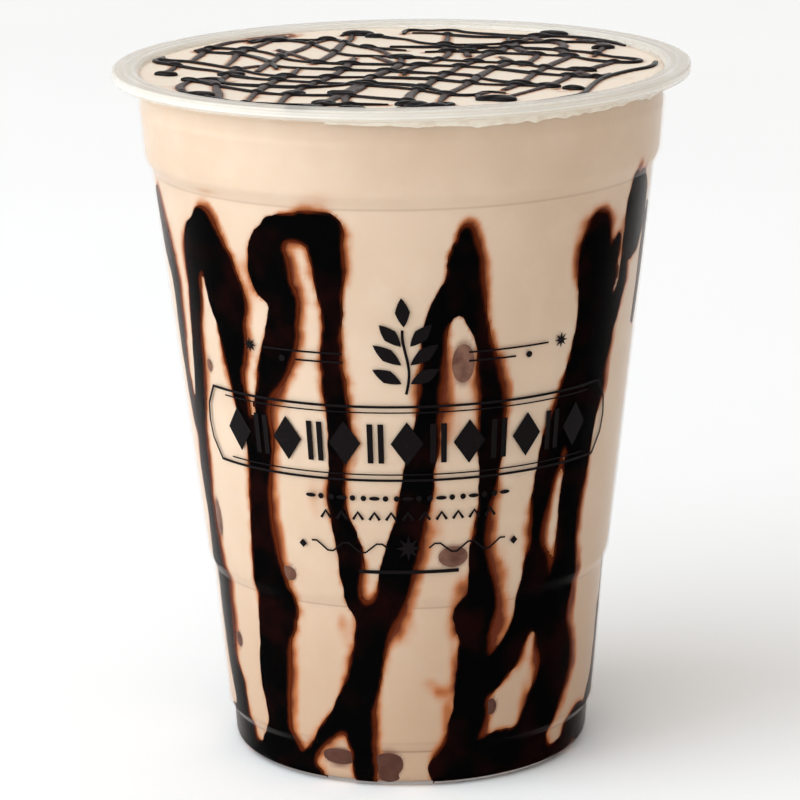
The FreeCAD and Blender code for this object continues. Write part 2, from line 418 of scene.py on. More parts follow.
def down_the_wall(top, rows, into_wall, corner_rows, corner_turn):
    """Half a section of (radius, height) points inside the cup: down the wall, and round the corner at its foot."""
    points = []
    low = BASE_ROUND + 0.4
    for k in range(rows + 1):
        height = top + (low - top) * k / rows
        points.append((wall_outside(height) - WALL_SHEET + into_wall, height))
    corner = BASE_RADIUS - BASE_ROUND - WALL_SHEET + into_wall
    floor = FLOOR_SHEET - into_wall
    for k in range(1, corner_rows + 1):
        turn = math.radians(corner_turn * k / corner_rows)
        points.append((corner + BASE_ROUND * math.cos(turn), floor + BASE_ROUND * (1 - math.sin(turn))))
    return points


def coordinates(mesh):
    """The x, y and z of a mesh's vertices, one row each."""
    return np.array([vert.co for vert in mesh.verts]).T


def wrap(mesh, angle, height, radius):
    """Moves a mesh's vertices to angles and heights round the cup."""
    for vert, place in zip(mesh.verts, on_cup(angle, height, radius)):
        vert.co = place


def turned(profile, columns):
    """A mesh turned about +Z from a half section of (radius, height) points, which runs from the top down.

    A flat grid is wrapped round the axis, one row for each point, and its seam and poles are welded.
    """
    mesh = bmesh.new()
    rows = len(profile) - 1
    bmesh.ops.create_grid(mesh, x_segments=columns, y_segments=rows, size=0.5)
    across, along, _ = coordinates(mesh)
    radius, height = np.array(profile)[np.rint((0.5 - along) * rows).astype(int)].T
    wrap(mesh, across * 360, height, radius)
    bmesh.ops.remove_doubles(mesh, verts=mesh.verts, dist=0.005)
    bmesh.ops.recalc_face_normals(mesh, faces=mesh.faces)
    return mesh


def face_outwards(mesh):
    """Turns round the faces of a sheet on the wall that look towards the cup's axis."""
    mesh.normal_update()
    inward = [face for face in mesh.faces if face.normal.xy.dot(face.calc_center_median().xy) < 0]
    bmesh.ops.reverse_faces(mesh, faces=inward)


def made(mesh, name, material, smooth=True):
    """Turns a bmesh in millimetres into an object in metres."""
    bmesh.ops.scale(mesh, vec=(MM, MM, MM), verts=mesh.verts)
    for face in mesh.faces:
        face.smooth = smooth
    data = bpy.data.meshes.new(name)
    mesh.to_mesh(data)
    mesh.free()
    data.materials.append(material)
    piece = bpy.data.objects.new(name, data)
    bpy.context.scene.collection.objects.link(piece)
    return piece


def thicken(piece, depth):
    """Gives a sheet on the wall its depth in millimetres, inwards from the side that shows."""
    skin = piece.modifiers.new("skin", "SOLIDIFY")
    skin.thickness = depth * MM
    skin.offset = -1


mesh = turned(down_the_wall(SYRUP_TOP, SYRUP_ROWS, SYRUP_INTO_WALL, 7, 84), SYRUP_COLUMNS)
depth_layer = mesh.verts.layers.float.new("depth")
feather_layer = mesh.verts.layers.float.new("feather")
x, y, height = coordinates(mesh)
angle = np.degrees(np.arctan2(x, -y))
gap = syrup_gap(angle, height)
feather = feather_at(angle, height)
mesh.verts.ensure_lookup_table()
for vert in mesh.verts:
    vert[feather_layer] = feather[vert.index]
    vert[depth_layer] = min(max(-gap[vert.index], 0) / (0.12 + 1.1 * feather[vert.index]), 1)

# Faces that are dry all round go. The dry corners of the others are drawn in to where the syrup ends.
PROBE, LONGEST_MOVE, LOWEST_EDGE = 0.25, 0.8, 0.4
dry_faces, edge = [], set()
for face in mesh.faces:
    dry = [vert.index for vert in face.verts if gap[vert.index] > 0]
    if len(dry) == len(face.verts):
        dry_faces.append(face)
    else:
        edge.update(dry)
edge = np.array(sorted(edge))
old_angle, old_height, old_radius = angle[edge], height[edge], np.hypot(x, y)[edge]
per_degree = per_degree_at(old_height)
aside = PROBE / per_degree
across = (syrup_gap(old_angle + aside, old_height) - syrup_gap(old_angle - aside, old_height)) / (2 * PROBE)
up = (syrup_gap(old_angle, old_height + PROBE) - syrup_gap(old_angle, old_height - PROBE)) / (2 * PROBE)
move = np.minimum(gap[edge], LONGEST_MOVE) / np.maximum(across**2 + up**2, 0.3)
new_height = np.maximum(old_height - move * up, LOWEST_EDGE)
new_radius = old_radius + wall_outside(new_height) - wall_outside(old_height)
for index, place in zip(edge, on_cup(old_angle - move * across / per_degree, new_height, new_radius)):
    mesh.verts[index].co = place
bmesh.ops.delete(mesh, geom=dry_faces, context="FACES")
face_outwards(mesh)
syrup = made(mesh, "wall_syrup", syrup_on_wall())
thicken(syrup, SYRUP_DEPTH)
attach(syrup, "root")


# ------------------------------------------------------------------------------
# Tapioca pearls are boiled brown balls of starch, and some of those in the drink rest against the plastic. Each is a
# ball drawn wider and longer along the wall, and sunk so that its outer face alone shows.

# (angle, height, width, length)
PEARLS = (
    (13.8, 75.5, 3.8, 7.2), (12, 41.8, 4.6, 4), (-35, 37.6, 3, 2.8), (24.9, 13.8, 2, 3.2), (-64.5, 43.8, 2.5, 7),
    (-23.5, 4.9, 5.2, 3.4), (-7.4, 4.2, 4.6, 5), (-57.3, 71.8, 2, 2.4), (-63, 22, 2.4, 3),
    (102, 31, 4, 5), (131, 55, 4.4, 4.2), (160, 22, 4.6, 4.4), (-120, 40, 4, 5.2), (-150, 66, 4.2, 4),
    (-104, 14, 4, 4),
)
# How thick the lens of each is, how much larger than what shows, and how far behind the plastic its middle lies.
PEARL_DEPTH, PEARL_SPREAD, PEARL_SUNK = 1.36, 1.36, 0.38


def pearl_brown():
    finish = Finish("tapioca_pearl")
    tone = finish.grain(2.2, 3.0)
    skin = finish.blend(tone.ramp(0.3, 0.75), colour(130, 94, 78), colour(94, 60, 48))
    # Painted shade: the pearls darken towards the bottom of the cup.
    skin = finish.blend((1 - finish.height().ramp(8, 60)) * 0.8, skin, colour(72, 40, 32))
    return finish.surface({
        "Base Color": skin, "Roughness": 0.3, "Specular IOR Level": 0.1, "Subsurface Weight": 0.2,
        "Subsurface Radius": (1.0, 0.6, 0.4), "Subsurface Scale": 0.0012,
    })


mesh = bmesh.new()
for angle, height, width, length in PEARLS:
    ball = bmesh.ops.create_uvsphere(mesh, u_segments=28, v_segments=16, radius=0.5)["verts"]
    middle = Vector(on_cup(angle, height, wall_outside(height) - WALL_SHEET - PEARL_SUNK))
    shape = Matrix.Diagonal((width * PEARL_SPREAD, PEARL_DEPTH, length * PEARL_SPREAD, 1))
    lean = math.atan2(wall_outside(height + 2) - wall_outside(height - 2), 4)
    turn = Matrix.Rotation(math.radians(angle), 4, "Z") @ Matrix.Rotation(lean, 4, "X")
    bmesh.ops.transform(mesh, verts=ball, matrix=Matrix.Translation(middle) @ turn @ shape)
pearls = made(mesh, "pearls", pearl_brown())
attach(pearls, "root")


# ------------------------------------------------------------------------------
# The milkshake is a thick, pale brown cream poured level with the lip. It lies against the plastic all the way down,
# so its skin takes the wall's steps, and it is stained orange-brown where syrup bleeds into it. Its colour also holds
# painted light: lighter over the top, and painted shade towards the bottom and in fine lines where the wall bends.

FILL_TOP = 118.1
FILL_EDGE = 0.6
FILL_ROWS, FILL_COLUMNS = 154, 380
# The drink reaches this far into the plastic, so that no air shows between them.
INTO_WALL = 0.12
# The cup's standing ring and pushed-up floor.
RING_WIDTH, PUSH_UP, PUSH_UP_SLOPE = 2.0, 2.6, 2.4
# Painted shade in fine dark lines where the wall bends: (height, half width, strength).
CREASE_SHADES = ((6.5, 0.3, 0.5), (8.1, 0.5, 0.12), (32.6, 0.3, 0.28), (101.8, 0.35, 0.2))
# Patches where syrup has bled further: (angle, height, reach across, reach up, strength).
BLEEDS = (
    (-19, 103, 5, 2.2, 0.2), (-50, 102.6, 7, 0.7, 0.2), (-38, 89, 2.4, 4, 0.5), (49.6, 96.6, 3.4, 2.4, 0.8),
    (44.4, 90.4, 1.6, 4.6, 0.8), (61.5, 94, 1.4, 2.4, 0.5), (-30, 84, 1.2, 6, 0.35), (58, 92, 1.6, 4, 0.4),
    (65.5, 102.6, 1.6, 2.2, 0.8), (11.5, 66, 2.2, 6, 0.3), (-25, 52, 1.6, 5, 0.25), (8, 47, 1.6, 4, 0.25),
    (14.6, 34.5, 1.8, 3.2, 0.8), (12.2, 29, 1.3, 2.2, 0.6), (12.9, 21, 0.9, 4.5, 0.5), (5.3, 19.1, 1.6, 1.2, 0.3),
    (8.6, 17.2, 1.8, 1.5, 0.5), (10.8, 13.6, 1.1, 3.2, 0.55), (26.4, 27.6, 2, 3.4, 1), (27.2, 32.5, 1.6, 3.2, 0.7),
    (26, 38.6, 1.6, 4, 0.45), (42.9, 31, 1.2, 4, 0.95), (55.6, 31, 1.3, 6, 0.8), (59.5, 18.3, 1.4, 4, 0.35),
    (37, 13, 1.3, 3.4, 0.8), (39.9, 21, 1.1, 3.4, 0.6), (23.2, 11, 1, 4, 0.5), (74, 7, 1.6, 1.6, 0.6),
    (-2, 29, 2.4, 3, 0.4), (-19.6, 29, 1.4, 3.2, 0.35), (-32, 69, 1.6, 4, 0.3), (-43, 76, 1.2, 4, 0.4),
    (-59, 91, 1.5, 5, 0.3),
)
# The drizzle over the top stains the drink under it: long wavy lines from side to side, and steeper ones across them.
# Each line is (x, y) points in millimetres, as seen from above with the front at -Y.
LONG_LINES = (
    ((-27, 29), (-25.5, 30.6), (-22, 31.6), (-20, 30.8), (-16, 30.4), (-12, 30.5), (-9.5, 26), (-7, 22), (-3, 19),
     (1, 17)),
    ((-10.5, 35), (-8.5, 39.5), (-5.5, 36.5), (-2.5, 32), (1, 29.5), (4, 25), (8, 23), (15, 22.5), (20, 23.5),
     (26, 23.8), (33, 23), (36.5, 20)),
    ((0.5, 36), (1.5, 40), (5, 39.2), (9, 39.5), (12, 36.5), (16, 34), (20, 32), (25, 30.5), (29, 30), (34, 26.5),
     (38, 22), (40, 19)),
    ((2, 37), (6, 36), (10, 33), (14, 31), (19, 30), (22, 28)),
    ((-2, 21.5), (3, 20.5), (7, 20), (13, 18.8), (18, 18.5), (24, 16.5), (30, 13.5), (33, 11), (36, 7), (39, 4.6),
     (40.6, 2.6), (39.6, 0.6), (36, 1), (32.5, 3.5), (29, 8), (24, 10.2), (18, 12.2), (13, 14), (8.5, 15.2),
     (4, 15)),
    ((-36, 20), (-33.5, 22.5), (-28, 21), (-24.5, 18.5), (-21, 13), (-19.5, 9.5), (-17, 7), (-13.5, 4.8), (-10, 3.6),
     (-5, 2.6), (0, 1.6), (5, 0.4), (10, -1), (14, -3), (18, -5.8), (22, -9.2), (27, -12), (32, -14), (35, -10.5)),
    ((-26.5, 28), (-23.5, 30.5), (-19, 29.5), (-16, 26.5), (-14, 22), (-11.5, 16.5), (-8.5, 12.4), (-5, 11.4),
     (-1, 10.4), (3, 9), (7.5, 6), (12, 4), (17, 2.2), (21, 0), (24, -3.2), (28, -6.2), (32, -7.6)),
    ((-35.5, 19), (-31, 17.2), (-28, 15.5), (-25, 11.5), (-22.5, 6), (-20.5, 1.6), (-17, -0.2), (-13, -1.6),
     (-8, -3.4), (-3, -4.6), (1, -6.4), (7, -8.4), (11.5, -10.8), (14, -14.6), (18, -18.4), (24, -21)),
    ((-44, 13), (-43.5, 9.5), (-39, 5.3), (-35, 0.8), (-31, -2.4), (-28.5, -7), (-24, -10.8), (-20, -12.6),
     (-14, -15.6), (-9, -17.4), (-4, -20), (1, -23), (5, -26.8), (8, -29.6), (11.5, -30.2), (13.8, -27.2),
     (17, -28.6)),
    ((-44, 14.5), (-41, 11), (-36, 8), (-31, 3), (-27, -1.6), (-22.5, -7), (-17, -9.4), (-12, -10.4), (-5, -10.8),
     (-1, -12), (5, -14), (10, -17.2), (14, -19.8), (18.5, -21), (23, -22.4)),
    ((-35.5, -11.6), (-33, -13.6), (-30.5, -17), (-27, -20.8), (-23.5, -24.4), (-19.5, -26.8), (-15, -28),
     (-9, -29), (-4.5, -31.4), (0.5, -34.6), (4, -37.4)),
    ((-35.5, -11.2), (-31, -10.4), (-29, -15), (-23, -18.2), (-16, -20.2), (-11, -19), (-6.5, -16.6), (-2.5, -17.8),
     (2.5, -20.4), (5.5, -24.6), (7, -28)),
    ((-36.5, -22), (-33.5, -26), (-30, -30), (-26.5, -34), (-22, -36), (-15, -37.4), (-8, -37.6), (-2, -38)),
    ((-18, -39.6), (-13.5, -41), (-6, -42.4)),
    ((-1, -41.6), (3, -40.8), (7, -40), (8, -38.6), (4.5, -37.8)),
    ((44, 1), (42, -4), (38, -8.4), (34, -14.2), (31.8, -20), (30.4, -26), (29, -31), (26, -34.2), (22, -37.4)),
    ((-28.5, 17), (-24, 11), (-22, 4), (-21, -1)),
)
CROSS_LINES = (
    ((-36, 9), (-34.8, 15), (-33.5, 22), (-30.5, 28.5), (-27, 31.5)),
    ((-30, 2), (-28.8, 10), (-28, 17), (-25.5, 23.5), (-22.8, 30.5), (-20.5, 35)),
    ((-24.4, -3.4), (-22.6, 5), (-20.5, 13), (-17.4, 20), (-15, 27.5), (-12, 32)),
    ((-15, 4), (-13, 10), (-11.4, 17), (-10.5, 24), (-9, 30), (-8.6, 37)),
    ((-40.5, -4), (-38.8, 1), (-38.4, 5)),
    ((-30, -10.5), (-29, -6), (-28, -1), (-24, 3)),
    ((-29.6, -30.4), (-30, -25), (-30.6, -19), (-31, -14), (-34, -11)),
    ((-36, -22), (-36.6, -17), (-35, -11.5)),
    ((-25.4, -35.6), (-24.2, -27), (-22.6, -19), (-20.6, -12), (-18.6, -7), (-17.4, -0.5)),
    ((-19.8, -36), (-18.4, -27), (-15.8, -19.6), (-12.6, -12), (-10, -3), (-9, 3), (-8, 10)),
    ((-14, -40.8), (-12.4, -35.6), (-10, -28), (-8, -21.6), (-6.6, -15), (-4.6, -10), (-2, -4), (-0.4, 1), (0, 9)),
    ((-7.4, -41), (-9, -35), (-8.6, -28), (-6.6, -21.4), (-5.4, -14)),
    ((0.5, -41), (1, -35), (1.6, -28), (3.6, -22), (5.6, -14), (7.6, -8.6), (10, -1), (12.6, 4.4), (13.6, 9),
     (17, 14.4), (18.4, 20), (19, 29.5)),
    ((6, -36.6), (7.2, -29.6), (9.8, -22.4), (11.6, -17), (13, -11), (15.6, -3.6), (18.4, 3), (17, 9)),
    ((0.4, -9), (1.2, -3), (4, 2), (6.6, 7), (8.2, 13), (7.6, 20), (8, 27), (8.4, 34.5)),
    ((11.6, 9.4), (11.4, 14), (13.2, 19)),
    ((16.6, -25.6), (19.6, -19.4), (21.4, -12.6), (23.4, -6), (25.6, 0), (27.6, 4.6), (29, 9), (27.6, 14.6),
     (28.2, 21.4), (24, 27), (24.6, 31)),
    ((20.4, -1), (22.4, 5), (23.2, 10.2), (20.8, 15), (20, 22), (22, 27.6), (26, 33), (28.4, 37.6)),
    ((14.6, -35), (12.2, -30.4), (14, -27.6)),
    ((16.6, -33), (20.4, -27.6), (24, -22), (27, -15.4), (28.4, -11), (30.6, -7.4), (33.4, -3), (36.4, 1.4)),
    ((33, 7.4), (34, 12.4), (35, 17), (34.6, 22.4), (31, 27)),
    ((32.6, -15), (30, -9), (29.6, -6)),
    ((-4.6, 11), (-2.4, 6), (-0.6, 2)),
    ((-6.5, 22), (-3.4, 17), (-1.6, 11)),
    ((-21.4, 20), (-18.6, 14.6), (-14, 5)),
)
LONG_RADIUS, CROSS_RADIUS = 0.58, 0.78
# How far from a line the top can be stained, and how far out the lines stain it.
TOP_REACH, DRIZZLED_RADIUS = 2.0, 42.5
# Where drizzle ran over the edge it stained the drink against the plastic: (x, y, reach, strength).
TOP_BLEEDS = (
    (-25.8, 34.6, 2.8, 1.8), (-21.4, 37.2, 3, 2.2), (30.6, 31.4, 1.9, 1.2), (40.4, 18, 1.8, 0.4),
    (-42.4, 13.4, 1.8, 0.8), (26.6, -25.6, 2, 0.9), (-32.8, -11.6, 1.6, 0.5), (-33.6, 22, 1.4, 0.4),
    (22.6, -37, 2, 0.3), (-28, -12, 1.4, 0.5), (-23, -29, 1.2, 0.4), (-39, -17, 1.6, 0.3), (37, -15, 2.4, 0.25),
)


def bleed_at(angle, height):
    """How strongly syrup has stained the drink at points of the wall, from 0 to 1."""
    gap = np.clip(syrup_gap(angle, height), 0, None)
    feather = feather_at(angle, height)
    stain = (0.45 + 0.6 * feather) * np.exp(-gap / (0.2 + 1.25 * feather)) * np.clip(REACH - 0.6 - gap, 0, 1)
    per_degree = per_degree_at(height)
    places = on_cup(angle, height, np.full(len(angle), PATTERN_RADIUS))
    patchy = 0.85 + 0.55 * ripple(places, 2.8) + 0.15 * ripple(places, 1.2)
    for middle, level, across, up, strength in BLEEDS:
        around = turn_from(middle, angle) * per_degree
        stain += strength * np.exp(-(around / across)**2 - ((height - level) / up)**2) * patchy
    return np.clip(stain, 0, 1)


def pearl_at(angle, height):
    """How much a pearl's grey shows through the drink at points of the wall, from 0 to 1."""
    per_degree = per_degree_at(height)
    shown = np.zeros(len(angle))
    for middle, level, width, length in PEARLS:
        around = turn_from(middle, angle) * per_degree / (width / 2)
        off = np.hypot(around, (height - level) / (length / 2))
        shown = np.maximum(shown, np.clip((1.25 - off) / 0.35, 0, 1))
    return shown


def drizzle_gap(x, y):
    """How far points of the top lie outside the drizzled lines, in millimetres, and at most TOP_REACH."""
    total = np.full(len(x), TOP_REACH)
    for lines, radius in ((LONG_LINES, LONG_RADIUS), (CROSS_LINES, CROSS_RADIUS)):
        for line in lines:
            points = eased([(across, back, radius) for across, back in line])
            for start, end in zip(points, points[1:]):
                near = (np.abs(x - start[0]) < 5) & (np.abs(y - start[1]) < 5)
                total[near] = np.minimum(total[near], bar_gap(x[near], y[near], start, end))
    return total


def top_bleed_at(x, y):
    """How strongly the drizzle has stained points of the top, from 0 upwards."""
    stain = 0.42 * np.exp(-np.clip(drizzle_gap(x, y), 0, None) / 0.34) * (np.hypot(x, y) < DRIZZLED_RADIUS)
    ragged = np.clip(0.55 + 0.9 * ripple(np.stack([x, y, 0 * x], axis=-1), 1.5, 9), 0, 1.4)
    for middle_x, middle_y, reach, strength in TOP_BLEEDS:
        stain += strength * np.exp(-((x - middle_x)**2 + (y - middle_y)**2) / reach**2) * ragged
    return stain


def drink_profile():
    """The drink's half section as (radius, height), from the middle of the top round to the middle of the floor."""
    edge = wall_outside(FILL_TOP) - WALL_SHEET + INTO_WALL
    points = [(edge * k / 60, FILL_TOP) for k in range(59)]
    for k in range(1, 5):
        turn = math.radians(90 * k / 4)
        points.append((edge - FILL_EDGE * (1 - math.sin(turn)), FILL_TOP - FILL_EDGE * (1 - math.cos(turn))))
    points += down_the_wall(FILL_TOP - FILL_EDGE - 0.7, FILL_ROWS, INTO_WALL, 6, 90)
    ring, floor = BASE_RADIUS - BASE_ROUND - RING_WIDTH, FLOOR_SHEET - INTO_WALL
    points.append((ring, floor))
    return points + [(radius, floor + PUSH_UP) for radius in (ring - PUSH_UP_SLOPE, 16, 8, 0)]


def shake_cream():
    finish = Finish("milkshake_cream")
    bleed = finish.mark("bleed")
    broad = finish.grain(26)
    mottle = finish.grain(5, 3.0)
    cream = finish.blend(broad.ramp(0.35, 0.65), colour(211, 187, 164), colour(205, 180, 156))
    cream = finish.blend(mottle.ramp(0.4, 0.75) * 0.3, cream, colour(217, 197, 176))
    height = finish.height()
    # Painted light: the top of the drink and its rounded edge are drawn lighter.
    cream = finish.blend(height.ramp(117.0, 118.0) * 0.8, cream, colour(246, 228, 208))
    # Painted shade: the drink is drawn darker towards the bottom of the cup.
    cream = finish.blend((1 - height.ramp(0, 62)) * 0.75, cream, colour(178, 146, 119))
    # Painted shade in fine dark lines where the wall bends.
    for level, width, shade in CREASE_SHADES:
        bend_shade = height.ramp(level - width, level) * (1 - height.ramp(level, level + width))
        cream = finish.blend(bend_shade * shade, cream, colour(120, 84, 66))
    cream = finish.blend(finish.mark("pearl") * 0.85, cream, colour(116, 78, 62))
    stained = finish.blend(bleed.ramp(0.03, 0.52), cream, colour(182, 112, 66))
    stained = finish.blend(bleed.ramp(0.3, 0.88), stained, colour(98, 38, 14))
    bubbles = finish.bump(finish.grain(0.5), 0.02, 0.3)
    return finish.surface({
        "Base Color": stained, "Roughness": 0.38, "Specular IOR Level": 0.1, "Subsurface Weight": 0.25,
        "Subsurface Radius": (1.0, 0.6, 0.4), "Subsurface Scale": 0.002, "Normal": bubbles,
    })


mesh = turned(drink_profile(), FILL_COLUMNS)
bleed_layer = mesh.verts.layers.float.new("bleed")
pearl_layer = mesh.verts.layers.float.new("pearl")
x, y, height = coordinates(mesh)
angle = np.degrees(np.arctan2(x, -y))
on_top = height > FILL_TOP - 0.1
stain = np.where(on_top, top_bleed_at(x, y), bleed_at(angle, height))
shown = np.where(on_top, 0, pearl_at(angle, height))
for vert, amount, grey in zip(mesh.verts, stain, shown):
    vert[bleed_layer] = min(amount, 1)
    vert[pearl_layer] = grey
drink = made(mesh, "milkshake_fill", shake_cream())
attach(drink, "root")
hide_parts("milkshake")


# ------------------------------------------------------------------------------
# The drizzle stands up from the drink as glossy cords of sauce, squeezed out of a bottle in two passes. The lines
# across were laid first and have spread flat; the long lines over them are thin and round, and swell where they cross
# one. Cords that touch are melted into each other.

# Where the bottle turned back, the syrup lies in longer drops: (x, y, half its length).
DROPS = (
    (0, 9.5, 2.6), (-39.6, -5, 2.3), (15.2, -34.6, 3.7), (35, 17, 2.3), (-33, -26, 2.8), (24, -22.4, 2.4),
    (28, -25.2, 2), (1.5, -38.6, 3), (-28.6, -6.4, 2.6), (-10, -27, 2.5), (-12.6, -36, 2.3), (-8, -42, 2.6),
    (-17.6, -26.4, 2.2), (-22.4, 30.6, 2.6), (-7.6, 36.4, 3.2), (-4.6, 33.4, 2), (27, 33, 3), (24.6, 30.6, 2.2),
    (28.6, 8.8, 2), (-16, -41, 3.2), (5, -40.6, 2.4),
)
# How high the middles of cords and drops lie over the drink, and the voxels in which they are melted together.
CROSS_HEIGHT, LONG_HEIGHT, DROP_HEIGHT = 0.04, 0.14, 0.2
CROSS_MELT, LONG_MELT = 0.27, 0.22
# Cords are slumped to this share of their height, and stay within this radius.
SLUMP, FARTHEST_OUT = 0.5, 43.2


def cords(lines, height, radius, seed):
    """Cords along the lines, thicker and thinner as a hand-held bottle leaves them, and slumped nearer the drink."""
    draw = random.Random(seed)
    curve = bpy.data.curves.new("drizzle_line", "CURVE")
    curve.dimensions = "3D"
    curve.bevel_depth = radius * MM
    curve.bevel_resolution = 2
    curve.resolution_u = 6
    curve.use_fill_caps = True
    for line in lines:
        spline = curve.splines.new("BEZIER")
        spline.bezier_points.add(len(line) - 1)
        for point, (x, y) in zip(spline.bezier_points, line):
            place = Vector((x, y, 0.12 * noise.noise(Vector((x, y, seed)) / 5)))
            if place.xy.length > FARTHEST_OUT:
                place.xy = place.xy.normalized() * FARTHEST_OUT
            point.co = place * MM
            point.handle_left_type = point.handle_right_type = "AUTO"
            point.radius = 1 + draw.uniform(-0.22, 0.28)
        spline.bezier_points[0].radius *= 0.8
        spline.bezier_points[-1].radius *= 0.7
    piece = bpy.data.objects.new("drizzle_line", curve)
    bpy.context.scene.collection.objects.link(piece)
    tubes = bpy.data.meshes.new_from_object(piece)
    bpy.data.objects.remove(piece)
    mesh = bmesh.new()
    mesh.from_mesh(tubes)
    bpy.data.meshes.remove(tubes)
    bmesh.ops.scale(mesh, vec=(1 / MM, 1 / MM, SLUMP / MM), verts=mesh.verts)
    bmesh.ops.translate(mesh, vec=(0, 0, FILL_TOP + height), verts=mesh.verts)
    return mesh


def crossings():
    """Where the long lines lie over the cross lines, as (x, y, direction of the long line)."""
    found = []
    cross = [np.array(eased(line)) for line in CROSS_LINES]
    start = np.concatenate([line[:-1] for line in cross])
    step = np.concatenate([np.diff(line, axis=0) for line in cross])
    for line in LONG_LINES:
        points = np.array(eased(line))
        for here, along in zip(points, np.diff(points, axis=0)):
            size = along[0] * step[:, 1] - along[1] * step[:, 0]
            size = np.where(np.abs(size) < 1e-9, 1e-9, size)
            off = start - here
            on_long = (off[:, 0] * step[:, 1] - off[:, 1] * step[:, 0]) / size
            on_cross = (off[:, 0] * along[1] - off[:, 1] * along[0]) / size
            for share in on_long[(on_long >= 0) & (on_long < 1) & (on_cross >= 0) & (on_cross < 1)]:
                found.append((*(here + along * share), math.atan2(along[1], along[0])))
    return found


def syrup_drizzled():
    finish = Finish("syrup_drizzled")
    deep = finish.blend(finish.grain(3.0).ramp(0.3, 0.7), colour(14, 6, 7), colour(7, 3, 4))
    return finish.surface({
        "Base Color": deep, "Roughness": 0.2, "IOR": 1.46, "Specular IOR Level": 0.14,
        "Normal": finish.bump(finish.grain(0.9), 0.12, 0.7),
    })


def syrup_spread():
    finish = Finish("syrup_spread")
    streaks = finish.grain(0.8, 3.0)
    # The lighter streaks are partly thin sauce over the drink and partly painted sheen.
    thin = finish.blend(streaks.ramp(0.36, 0.66), colour(20, 9, 9), colour(72, 50, 45))
    return finish.surface({
        "Base Color": thin, "Roughness": 0.3, "IOR": 1.46, "Specular IOR Level": 0.2,
        "Normal": finish.bump(streaks, 0.14, 0.8),
    })


def melted(piece, voxel):
    """Runs a piece's cords into each other where they touch."""
    melt = piece.modifiers.new("melt", "REMESH")
    melt.mode = "VOXEL"
    melt.voxel_size = voxel * MM
    melt.use_smooth_shade = True
    ease = piece.modifiers.new("ease", "SMOOTH")
    ease.factor = 0.5
    ease.iterations = 3


spread = made(cords(CROSS_LINES, CROSS_HEIGHT, CROSS_RADIUS, 3), "drizzle_across", syrup_spread())
melted(spread, CROSS_MELT)
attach(spread, "root")

# A bead swells each crossing, and three make up each drop: (x, y, turn, half its length, half its width).
draw = random.Random(21)
beads = [(x, y, turn, draw.uniform(1.2, 2.4), draw.uniform(0.6, 0.85)) for x, y, turn in crossings()]
for x, y, long in DROPS:
    turn = math.radians(draw.uniform(-24, 8))
    for along, share, wide in ((0.3, 0.68, 0.52), (-0.36, 0.6, 0.36), (0.02, 0.9, 0.24)):
        beads.append((x + along * long * math.cos(turn), y + along * long * math.sin(turn) + draw.uniform(-0.3, 0.3),
                      turn + draw.uniform(-0.25, 0.25), share * long, wide * long))
ball = bmesh.new()
bmesh.ops.create_uvsphere(ball, u_segments=14, v_segments=8, radius=1.0)
bead = bpy.data.meshes.new("bead")
ball.to_mesh(bead)
ball.free()
mesh = cords(LONG_LINES, LONG_HEIGHT, LONG_RADIUS, 8)
for x, y, turn, long, wide in beads:
    shape = Matrix.Diagonal((long, wide, 0.38 + 0.11 * long, 1))
    middle = Matrix.Translation((x, y, FILL_TOP + DROP_HEIGHT))
    bead_here = bead.copy()
    bead_here.transform(middle @ Matrix.Rotation(turn, 4, "Z") @ shape)
    mesh.from_mesh(bead_here)
    bpy.data.meshes.remove(bead_here)
drizzle = made(mesh, "top_drizzle", syrup_drizzled())
melted(drizzle, LONG_MELT)
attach(drizzle, "root")


# ------------------------------------------------------------------------------
# A film of drink was wiped off the rim and dried on the plastic just under the lip: thin, pale and ragged below. It is
# a strip wrapped round the wall, a little proud of it, from just left of the middle to the right side.

FILM_FROM, FILM_TO = -16.0, 84.0
FILM_TOP, FILM_PROUD, FILM_SHEET = 117.2, 0.07, 0.12


def dried_film():
    finish = Finish("dried_film")
    tone = finish.grain(1.6, 3.0)
    pale = finish.blend(tone.ramp(0.35, 0.7), colour(228, 217, 200), colour(218, 201, 181))
    return finish.surface({"Base Color": pale, "Roughness": 0.4, "Normal": finish.bump(tone, 0.06, 0.5)})


mesh = bmesh.new()
bmesh.ops.create_grid(mesh, x_segments=260, y_segments=8, size=0.5)
across, along, _ = coordinates(mesh)
angle = FILM_FROM + (FILM_TO - FILM_FROM) * (across + 0.5)
rim = on_cup(angle, np.full(len(angle), 115.0), np.full(len(angle), 45.0))
taper = np.clip((across + 0.5) / 0.35, 0.1, 1) * np.clip((0.5 - across) / 0.08, 0, 1)
drop = 1.1 + 0.7 * taper + (0.5 * ripple(rim, 5, 3) + 0.4 * ripple(rim, 1.6, 4)) * taper
height = FILM_TOP - drop * (0.5 - along)
wrap(mesh, angle, height, wall_outside(height) + FILM_PROUD + 0.05 * ripple(rim, 2.0, 6))
face_outwards(mesh)
film = made(mesh, "lip_film", dried_film())
thicken(film, FILM_SHEET)
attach(film, "root")


# ------------------------------------------------------------------------------
# The cup is screen-printed in one dark ink before it is filled: a broad band of lozenges and bars between rules, with
# a sprig above it and rows of small marks around it. The design is drawn flat, in millimetres from its middle, and
# wrapped round the wall.

INK_PROUD, INK_SHEET = 0.03, 0.06
PRINT_RADIUS = 38.2
# The widths of drawn lines, the heights of the band's lower, middle and upper lines, and half its length.
FINE, THIN, FIRM, BOLD = 0.22, 0.3, 0.42, 0.95
BAND_LOW, BAND_MIDDLE, BAND_HIGH, BAND_HALF = 55.6, 62.0, 68.4, 37.4
LOZENGE_STEP = 10.4
LEAF_WIDTH, STAR_LEVEL = 2.3, 43.6


